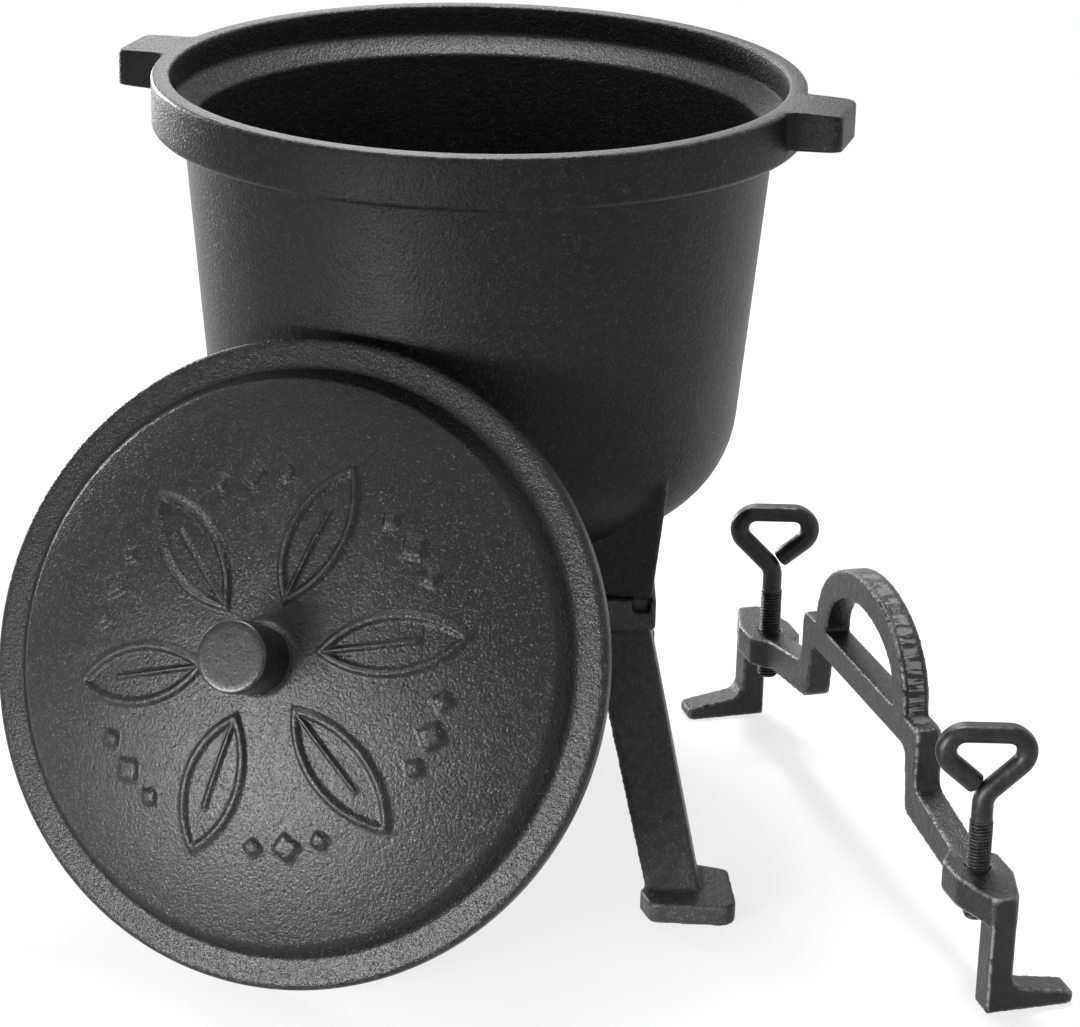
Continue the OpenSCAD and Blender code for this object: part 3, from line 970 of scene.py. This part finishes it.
@dataclass
class LidCasting:
    """The domed lid with its flange, knob and raised ornament."""

    pot: PotCasting
    gap: float = 0.5
    skin_in: float = 0.05  # depth of the shown skin inside the solid
    flange_t: float = 9.0
    flange_w: float = 13.0
    step_h: float = 10.0
    step_in: float = 5.5
    edge_r: float = 3.0
    dome_h: float = 36.5
    dome_t: float = 6.0
    knob_d: float = 29.5
    knob_h: float = 30.5
    knob_cap: float = 12.5
    knob_neck: float = 16.0
    knob_foot: float = 3.5
    relief_h: float = 2.2
    relief_w: float = 3.4
    leaf_l: float = 62.0
    leaf_share: float = 0.42  # width of a leaf as a share of its length
    leaf_from: float = 9.0
    leaves: int = 6
    diamond_in: float = 10.0
    # Degrees aside of the leaf's tip, and size against the width of the relief.
    diamonds: tuple[Point, ...] = ((0.0, 2.6), (11.0, 1.8), (-11.0, 1.8))
    lean: float = 23.5
    face: float = -109.0
    aside: float = -9.5
    touch: float = 0.3

    def __post_init__(self) -> None:
        """Work out the radii and the place that follow from the sizes."""
        self.edge = self.pot.seat_r - self.gap - self.skin_in
        self.foot = self.edge - self.flange_w
        self.dome_r = self.foot - self.step_in
        rise = self.dome_h - self.step_h
        self.ball = (self.dome_r ** 2 + rise ** 2) / (2 * rise)
        self.top = self.flange_t + self.dome_h
        self.ball_z = self.top - self.ball
        self.place = self.leaning()

    def leaning(self) -> Matrix:
        """Where the lid stands: its lower edge on the ground, its flange against the wall.

        Returns:
            The place, in millimetres.
        """
        tube = self.edge - self.edge_r
        lean, face = math.radians(self.lean), math.radians(self.face)
        back_z = tube * math.cos(lean) + self.edge_r

        def stand_off(angle: float) -> float:
            """How far out the lid's middle is when one point of its edge meets the wall.

            Args:
                angle: Angle of the point from the top of the edge, in radians.

            Returns:
                The distance from the pot's axis.
            """
            z = back_z + tube * math.cos(lean) * math.cos(angle)
            reach = self.pot.wall_r(z) + self.edge_r + self.touch
            side = self.aside + tube * math.sin(angle)
            return tube * math.sin(lean) * math.cos(angle) + math.sqrt(max(0.0, reach ** 2 - side ** 2))

        out = max(stand_off(math.radians(a)) for a in range(-40, 41))
        middle = Vector((out * math.cos(face) - self.aside * math.sin(face),
                         out * math.sin(face) + self.aside * math.cos(face), back_z))
        return (self.pot.place @ Matrix.Translation(middle) @ Matrix.Rotation(face, 4, "Z")
                @ Matrix.Rotation(math.pi / 2 - lean, 4, "Y") @ Matrix.Rotation(math.pi / 2, 4, "Z")
                @ Matrix.Translation((0, 0, -self.edge_r)))

    def dome_z(self, r: float, inside: float = 0.0) -> float:
        """Height of the plain dome at a radius, or of a face some way inside it."""
        return self.ball_z + math.sqrt((self.ball - inside) ** 2 - r * r)

    def section(self) -> list[Point]:
        """The lid's section, from the top of the knob out and back to the middle below.

        Returns:
            The points, as radius and height.
        """
        knob, head = self.knob_d / 2, self.top + self.knob_h
        foot, hollow = knob + self.knob_foot, self.dome_r - self.dome_t * 0.8
        stem = soft_line([
            (0, head, 0), (knob, head, 1.6), (knob, head - self.knob_cap, 2.0),
            (knob - 1.4, head - self.knob_neck, 3.0), (knob - 0.8, self.dome_z(knob), 3.2),
            (foot + 1, self.dome_z(foot + 1), 0)], 2.4, 0.6)
        dome = [(r, self.dome_z(r)) for r in np.arange(foot + 2, self.dome_r - 3.5, 0.92)]
        rim = soft_line([
            (*dome[-1], 0), (self.dome_r, self.dome_z(self.dome_r), 3.6), (self.foot, self.flange_t, 2.4),
            (self.edge, self.flange_t, self.edge_r), (self.edge, 0, self.edge_r),
            (self.foot - self.dome_t, 0, 1.5), (hollow, self.dome_z(hollow, self.dome_t), 4)], 1.6, 0.7)
        under = [(r, self.dome_z(r, self.dome_t)) for r in np.linspace(rim[-1][0] - 4, 0, 12)]
        return stem[:-1] + dome + rim[1:-1] + under

    def ornament(self, x: np.ndarray, y: np.ndarray) -> np.ndarray:
        """Height of the raised leaves and diamonds over the dome.

        Args:
            x: Places on the lid, seen from above.
            y: The other coordinate of the same places.

        Returns:
            The height in millimetres at each place.
        """
        start, length, thick = self.knob_d / 2 + self.leaf_from, self.leaf_l, self.relief_w
        width = length * self.leaf_share
        turn = 2 * math.pi / self.leaves
        radius, angle = np.hypot(x, y), np.arctan2(y, x) - turn * 0.25
        leaf_angle = (angle + turn / 2) % turn - turn / 2
        u, v = radius * np.cos(leaf_angle) - start, radius * np.sin(leaf_angle)
        outer = self.leaf_distance(u, v, length, width)
        inner = self.leaf_distance(u - thick * 1.3, v, length - 2.6 * thick, width - 2 * thick)
        rib_end = thick + length * 0.62
        rib = np.maximum(np.abs(v) - thick * 0.3, np.maximum(thick - u, u - rib_end))
        near = np.minimum(np.maximum(outer, -inner), rib)
        for offset, size in self.diamonds:
            spot = (angle - math.radians(offset)) % turn - turn / 2
            p, q = radius * np.cos(spot) - start - length + self.diamond_in, radius * np.sin(spot)
            near = np.minimum(near, (np.abs(p) + np.abs(q)) / math.sqrt(2) - thick * size / 2)
        return self.relief_h * (1 - smooth_step(near, -1.35, 0.75))

    @staticmethod
    def leaf_distance(u: np.ndarray, v: np.ndarray, length: float, width: float) -> np.ndarray:
        """How far a place is outside a leaf of two arcs.

        Args:
            u: Places along the leaf, from its start.
            v: Places across the leaf.
            length: Length of the leaf.
            width: Width of the leaf.

        Returns:
            The distance, less than 0 inside the leaf.
        """
        side_r = (length * length / 4 + width * width / 4) / width
        low = np.hypot(u - length / 2, v - (side_r - width / 2)) - side_r
        high = np.hypot(u - length / 2, v + (side_r - width / 2)) - side_r
        return np.maximum(low, high)

    def build(self, iron: bpy.types.Material) -> None:
        """Make the lid.

        Args:
            iron: Finish of the lid.
        """
        line, turns = self.section(), circle(480)
        radii, heights = all_round(line, turns)
        r, z = np.array(line).T
        upper = z > self.ball_z + np.sqrt(np.maximum(0, (self.ball - self.dome_t / 2) ** 2 - r ** 2))
        carved = upper & (r > self.knob_d / 2 + 5) & (r < self.dome_r - 2) & (z > self.flange_t)
        heights[carved] += self.ornament(radii[carved] * np.cos(turns), radii[carved] * np.sin(turns))
        shell = turned(turns, radii, heights)
        casting = shell.moved(self.place).piece("lid_casting")
        keep_mark(casting.thing.data, Mark.SMOOTH, shell.points[:, 2] > self.top + 2)
        casting.edges_marked(1.2).finished(iron, "lid_iron", "oven", "lid")


# The clamp

@dataclass
class Clamp:
    """The clamp bridge with its grip, and the two bent screws."""

    pot: PotCasting
    lid: LidCasting
    hook_t: float = 10.0
    room: float = 12.5  # height left between the lug and the boss
    boss_t: float = 13.0
    bar_t: float = 13.0
    bar_rise: float = 35.0
    grip_half: float = 54.0
    thread_d: float = 10.0
    thread_gap: float = 0.08
    thread_depth: float = 0.85
    pitch: float = 1.5
    bore_play: float = 0.12
    voxel: float = 0.85
    soft: int = 6
    filed_w: float = 3.4
    filed_h: float = 34.0
    filed_from: float = -8.0
    drill_over: float = 3.0
    rod_d: float = 9.0
    tip_out: float = 10.0
    thread_up: float = 22.0
    plain_up: float = 6.0
    neck_r: float = 10.0
    turn_r: float = 8.0
    rod_end: float = 14.3
    handle_half: float = 16.5
    handle_bend: float = 140.0  # degrees that the rod's end is bent back by
    hammered: float = 0.9
    stand_x: float = 178.0
    stand_y: float = 72.5
    stand_turn: float = -73.5

    def __post_init__(self) -> None:
        """Work out the heights and the place that follow from the sizes."""
        self.place = (self.pot.place @ Matrix.Translation((self.stand_x, -self.stand_y, 0))
                      @ Matrix.Rotation(math.radians(self.stand_turn), 4, "Z"))
        self.boss_z = self.hook_t + self.pot.lug_h + self.room
        self.bar_top = self.boss_z + self.bar_rise + self.bar_t
        self.screw_x = self.lid.edge - self.lid.flange_w / 2
        self.tip_z = self.boss_z - self.tip_out
        self.thread_top = self.boss_z + self.boss_t + self.thread_up
        self.neck_z = self.thread_top - self.tip_z + self.plain_up
        self.turn_x = self.handle_half - self.turn_r
        self.loop_z = (self.neck_z + self.turn_x - self.neck_r
                       + (self.neck_r + self.turn_r) * math.sqrt(2))

    def bridge(self, steel: bpy.types.Material) -> None:
        """Make the bridge with soft forged edges and clean screw holes.

        Args:
            steel: Finish of the bridge.
        """
        drills = []
        turns, bore = circle(48), self.thread_d / 2 + self.thread_gap + self.bore_play
        low, high = -self.drill_over, self.boss_t + self.drill_over
        line = [(0, low), (bore, low), (bore, high), (0, high)]
        drill = turned(turns, *all_round(line, turns))
        for end in End:
            spin = Matrix.Rotation(math.radians(end.value), 4, "Z")
            where = self.place @ spin @ Matrix.Translation((self.screw_x, 0, self.boss_z))
            drills.append(drill.moved(where).piece(f"drill_{end.name.lower()}"))
        steps = [*softening(self.voxel, self.soft), *(cutting(tool) for tool in drills)]
        bar = node_copy("clamp_bridge", "clamp_frame").changed(steps)
        for tool in drills:
            tool.removed()
        self.mark_filed(bar.thing.data)
        bar.edges_marked(1.4).finished(steel, "clamp_steel", "oven", "clamp_bridge")

    def mark_filed(self, mesh: bpy.types.Mesh) -> None:
        """Keep where the grip was filed bright: a strip along the outside of its bend.

        Args:
            mesh: Mesh of the bridge, in place.
        """
        back = self.place.inverted()
        values = []
        for vertex in mesh.vertices:
            p, side = back @ (Vector(vertex.co) / MM), back.to_3x3() @ Vector(vertex.normal)
            up = p.z - self.bar_top
            outer = (p.x / (self.grip_half - 4)) ** 2 + (up / self.filed_h) ** 2 > 0.55
            strip = up > -1 and p.x > self.filed_from and abs(p.y) < self.filed_w and side.x + side.z > 0.5
            values.append(float(outer and strip))
        keep_mark(mesh, Mark.FILED, values)

    def rod_path(self) -> np.ndarray:
        """Middle line of the bent rod above the thread: up, over the handle and back in.

        Returns:
            The points, to the side and up from the screw's tip.
        """
        tip, loop_z, t = self.thread_top - self.tip_z, self.loop_z, self.turn_r
        last = 90 + self.handle_bend
        shank = [(0.0, z) for z in np.linspace(tip - 3, self.neck_z - 1, 5)]
        neck = arc((self.neck_r, self.neck_z), self.neck_r, 180, 135, 7)
        right = arc((self.turn_x, loop_z), t, -45, 90, 19)
        left = arc((-self.turn_x, loop_z), t, 90, last, 19)
        end = (left[-1][0] - math.sin(math.radians(last)) * self.rod_end,
               left[-1][1] + math.cos(math.radians(last)) * self.rod_end)
        return np.array([*shank, *neck, *between(neck[-1], right[0], 6), *right,
                         *between(right[-1], left[0], 8), *left, *between(left[-1], end, 8), end])

    def rod(self) -> Surface:
        """The bent rod, hammered a little flat along its top.

        Returns:
            The rod, upright from the screw's tip.
        """
        path = self.rod_path()
        way = np.gradient(path, axis=0)
        way /= np.linalg.norm(way, axis=1)[:, None]
        middles = np.stack([path[:, 0], np.zeros(len(path)), path[:, 1]], axis=1)
        across = np.stack([way[:, 1], np.zeros(len(path)), -way[:, 0]], axis=1)
        over = np.tile(np.array([0.0, 1.0, 0.0]), (len(path), 1))
        turns = circle(28)
        radius = self.rod_d / 2
        rim = np.stack([np.cos(turns), np.sin(turns)], axis=1) * radius
        rims = np.tile(rim, (len(path), 1, 1))
        flat = smooth_step(path[:, 1], self.loop_z + 1, self.loop_z + self.turn_r)
        limit = radius - self.hammered * flat
        rims[..., 0] = np.clip(rims[..., 0], -limit[:, None], limit[:, None])
        self.round_end(rims, middles, way)
        return swept(middles, across, over, rims)

    def round_end(self, rims: np.ndarray, middles: np.ndarray, way: np.ndarray) -> None:
        """Draw in the last rims so that the rod's end is rounded off.

        Args:
            rims: Rim points at each step, changed in place.
            middles: Points of the middle line, changed in place.
            way: Direction of the line at each step.
        """
        end = middles[-1].copy()
        along = np.array([way[-1, 0], 0, way[-1, 1]])
        # Distance back from the end, and share of the rod's radius.
        steps = ((1.4, 1.0), (0.7, 0.93), (0.2, 0.8), (0.0, 0.62))
        for row, (back, share) in enumerate(steps, len(middles) - len(steps)):
            middles[row] = end - along * back
            rims[row] = rims[row] * share

    def thread(self) -> Surface:
        """The threaded shank, from its tip to the plain rod.

        Returns:
            The shank, upright from its tip.
        """
        height = self.thread_top - self.tip_z
        outer = self.thread_d / 2 - 0.02
        turns = circle(40)
        levels = np.linspace(0, height, round(height / self.pitch * 8) + 1)
        phase = (levels[:, None] / self.pitch - turns[None] / (2 * math.pi)) % 1.0
        crest = 1 - np.abs(phase * 2 - 1)
        radii = outer - self.thread_depth * (1 - smooth_step(crest, 0.15, 0.85))
        tip_cone = outer - 1.0 + levels[:, None] * 0.9
        top_cone = self.rod_d / 2 - 0.3 + (height - levels[:, None]) * 0.6
        radii = np.minimum(np.minimum(radii, tip_cone), top_cone)
        heights = np.repeat(levels[:, None], len(turns), axis=1)
        low, high = np.zeros((1, len(turns))), np.full((1, len(turns)), height)
        flat = np.zeros((1, len(turns)))
        return turned(turns, np.vstack([flat, radii, flat]), np.vstack([low, heights, high]))

    def screws(self, steel: bpy.types.Material) -> None:
        """Make the two screws.

        Args:
            steel: Finish of the screws.
        """
        for end in End:
            side = end.name.lower()
            where = (self.place @ Matrix.Rotation(math.radians(end.value), 4, "Z")
                     @ Matrix.Translation((self.screw_x, 0, self.tip_z))
                     @ Matrix.Rotation(math.radians(-self.stand_turn), 4, "Z"))
            screw = self.thread().joined(self.rod()).moved(where).piece(f"clamp_screw_{side}_steel")
            screw.edges_marked(1.0).finished(steel, "screw_steel", f"screw_{side}", f"clamp_screw_{side}")


# Studio

@dataclass
class Studio:
    """Pale floor, soft light and the camera at the photograph's angle."""

    pot: PotCasting
    focal_px: float = 3400.0
    frame_px: float = 1080.0
    camera_x: float = 30.7
    camera_back: float = 1449.6
    camera_up: float = 681.8
    pitch: float = 20.92
    roll: float = 1.4
    floor_half: float = 14000.0
    floor_under: float = 0.2
    floor_tone: float = 0.93
    floor_glow: float = 0.75
    world_light: float = 0.3

    def floor(self) -> None:
        """Lay a wide pale floor."""
        half = self.floor_half
        corners = [(x * half, y * half, -self.floor_under) for x, y in ((-1, -1), (1, -1), (1, 1), (-1, 1))]
        floor = Surface(np.array(corners), [(0, 1, 2, 3)]).piece("floor")
        floor.thing.data.materials.append(self.paper())

    def paper(self) -> bpy.types.Material:
        """Matt paper that glows white where something looks at it, and more so far away.

        Returns:
            The material.
        """
        recipe = Recipe(bpy.data.materials.new("floor_paper"))
        tone = recipe.noise(recipe.places(), 3.0)
        pale = recipe.mixed(tone, (self.floor_tone - 0.01,) * 3, (self.floor_tone,) * 3)
        matt = recipe.node("ShaderNodeBsdfDiffuse", None, {"Color": pale})
        glow = recipe.node("ShaderNodeEmission", None, {"Color": WHITE, "Strength": 1.0})
        length = recipe.node("ShaderNodeVectorMath", {"operation": "LENGTH"}, {0: recipe.places()}, "Value")
        share = length.ramp(0.5, 1.6) * (1 - self.floor_glow) + self.floor_glow
        shades = {0: recipe.looking() * share, 1: matt, 2: glow}
        return recipe.surfaced(recipe.node("ShaderNodeMixShader", None, shades))

    def world(self) -> None:
        """Light everything evenly, with a white view beyond the floor."""
        recipe = Recipe(bpy.data.worlds.new("studio"))
        lit, seen = (recipe.node("ShaderNodeBackground", None, {"Color": WHITE, "Strength": strength})
                     for strength in (self.world_light, 1.0))
        shades = {0: recipe.looking(), 1: lit, 2: seen}
        bpy.context.scene.world = recipe.surfaced(recipe.node("ShaderNodeMixShader", None, shades))

    def lamp(self, name: str, where: Corner, size: float, power: float,
             aim: Corner = (0, 0, 0.15), spread: float = 180.0) -> None:
        """Hang one soft square lamp.

        Args:
            name: Name of the lamp.
            where: Its place in metres from the pot's foot.
            size: Length of its side, in metres.
            power: Its power in watts.
            aim: The point that it faces, in metres from the pot's foot.
            spread: Angle in degrees that its grid lets the light out at.
        """
        light = bpy.data.lights.new(name, "AREA")
        light.shape, light.size, light.energy = "SQUARE", size, power
        light.spread = math.radians(spread)
        thing = bpy.data.objects.new(name, light)
        thing.location = Vector(where) + self.pot.place.translation * MM
        target = self.pot.place.translation * MM + Vector(aim)
        thing.rotation_euler = (thing.location - target).to_track_quat("Z", "Y").to_euler()
        thing.visible_camera = False
        bpy.context.scene.collection.objects.link(thing)

    def camera(self) -> None:
        """Put the camera where the photograph was taken from."""
        data = bpy.data.cameras.new("camera")
        data.sensor_width = 36.0
        data.lens = data.sensor_width * self.focal_px / self.frame_px
        data.clip_start, data.clip_end = 0.05, 100.0
        pitch, roll = math.radians(self.pitch), math.radians(self.roll)
        right = Vector((1, 0, 0))
        ahead = Vector((0, math.cos(pitch), -math.sin(pitch)))
        up = right.cross(ahead)
        side = right * math.cos(roll) + up * math.sin(roll)
        over = up * math.cos(roll) - right * math.sin(roll)
        where = Vector((self.camera_x, -self.camera_back, self.camera_up)) + self.pot.place.translation
        pose = Matrix((side, over, -ahead)).transposed().to_4x4()
        pose.translation = where * MM
        thing = bpy.data.objects.new("camera", data)
        thing.matrix_world = pose
        bpy.context.scene.collection.objects.link(thing)
        bpy.context.scene.camera = thing

    def build(self) -> None:
        """Set up the floor, the light and the camera."""
        self.floor()
        self.world()
        self.lamp("lamp_over", (0.0, 0.3, 1.2), size=0.35, power=24.0)
        self.lamp("lamp_soft", (-0.2, 0.35, 1.8), size=0.9, power=14.0)
        self.lamp("lamp_back", (-0.3, 2.2, 1.2), size=0.8, power=13.0)
        self.lamp("lamp_left", (-1.4, 1.8, 0.35), size=0.8, power=60.0)
        self.lamp("lamp_low", (-0.36, -0.6, 0.05), size=0.3, power=1.75,
                  aim=(-0.01, -0.22, 0.03), spread=60.0)
        self.camera()
        bpy.context.scene.view_settings.view_transform = "Standard"


def main() -> None:
    """Build and dress every piece, then set up the studio."""
    logging.basicConfig(level=logging.INFO, format="%(name)s: %(message)s")
    pot_iron = CastIron("pot_cast_iron").made()
    lid_iron = CastIron("lid_cast_iron", rough=0.33, gloss=0.3, peel=0.00042, painted_glint_share=0.7).made()
    # Painted light: the legs' cast iron is made lighter than the pot's to stand in for the light that falls
    # on them.
    leg_iron = CastIron("leg_cast_iron", dark=(0.024, 0.024, 0.0246), light=(0.066, 0.066, 0.0675),
                        painted_glint=(0.13, 0.13, 0.132), painted_glint_share=0.7).made()
    pot = PotCasting()
    pot.build(pot_iron)
    Legs().build(leg_iron)
    lid = LidCasting(pot)
    lid.build(lid_iron)
    clamp = Clamp(pot, lid)
    clamp.bridge(ForgedSteel("clamp_forged_steel").made())
    clamp.screws(BlackRod("screw_black_steel").made())
    Studio(pot).build()


if __name__ == "__main__":
    main()
